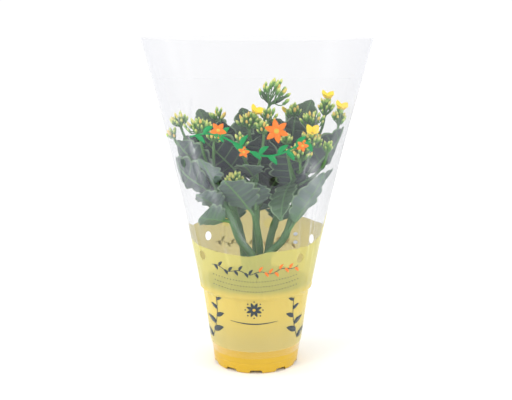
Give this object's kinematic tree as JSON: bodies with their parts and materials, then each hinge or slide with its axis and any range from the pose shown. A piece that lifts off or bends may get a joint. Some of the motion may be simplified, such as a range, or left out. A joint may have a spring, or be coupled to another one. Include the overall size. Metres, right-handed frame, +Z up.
{
  "type": "potted flaming katy",
  "caption": "Bushy kalanchoe with broad scalloped leaves, heads of pointed buds and a few open yellow flowers, in a tapered nursery pot, standing in a clear conical film sleeve.",
  "frame": {"origin": "on the surface the pot stands on, under the pot's axis", "axes": "+Z up, -Y to the front, +X to the right as seen from the front"},
  "size_m": [0.243, 0.1726, 0.3514],
  "materials": {
    "pot_plastic": "thin moulded yellow plastic, satin",
    "soil": "damp dark peat, crumbly",
    "leaf": "fleshy green leaf, waxy satin",
    "bud": "green to yellow flower buds, satin",
    "petal": "yellow petals, soft satin",
    "film": "clear glossy film with a yellow print on its lower part"
  },
  "bodies": {
    "root": {"pot": "pot_plastic", "soil": "soil", "leafy_stem_left_front": "leaf", "leafy_stem_centre_front": "leaf", "leafy_stem_right_front": "leaf", "leafy_stem_left_back": "leaf", "leafy_stem_centre_back": "leaf", "leafy_stem_right_back": "leaf", "bud_head_far_left": "bud", "bud_head_far_left_low": "bud", "bud_head_left": "bud", "bud_head_left_low": "bud", "bud_head_left_back": "bud", "bud_head_back_left_side": "bud", "bud_head_back_left": "bud", "bud_head_centre": "bud", "open_flower_centre": "petal", "bud_head_centre_right": "bud", "bud_head_tallest": "bud", "bud_head_back_centre": "bud", "bud_head_centre_low": "bud", "bud_head_centre_small": "bud", "bud_head_front_low": "bud", "bud_head_right_front": "bud", "bud_head_right": "bud", "open_flower_right": "petal", "bud_head_right_small": "bud", "bud_head_right_low": "bud", "bud_head_right_back": "bud", "bud_head_right_high": "bud", "bud_head_right_top": "bud", "open_flower_right_top": "petal", "bud_head_far_right": "bud", "open_flower_far_right": "petal", "bud_head_back_right": "bud", "open_flower_back_right": "petal", "bud_head_back_right_side": "bud", "film_sleeve": "film"}
  },
  "joints": []
}
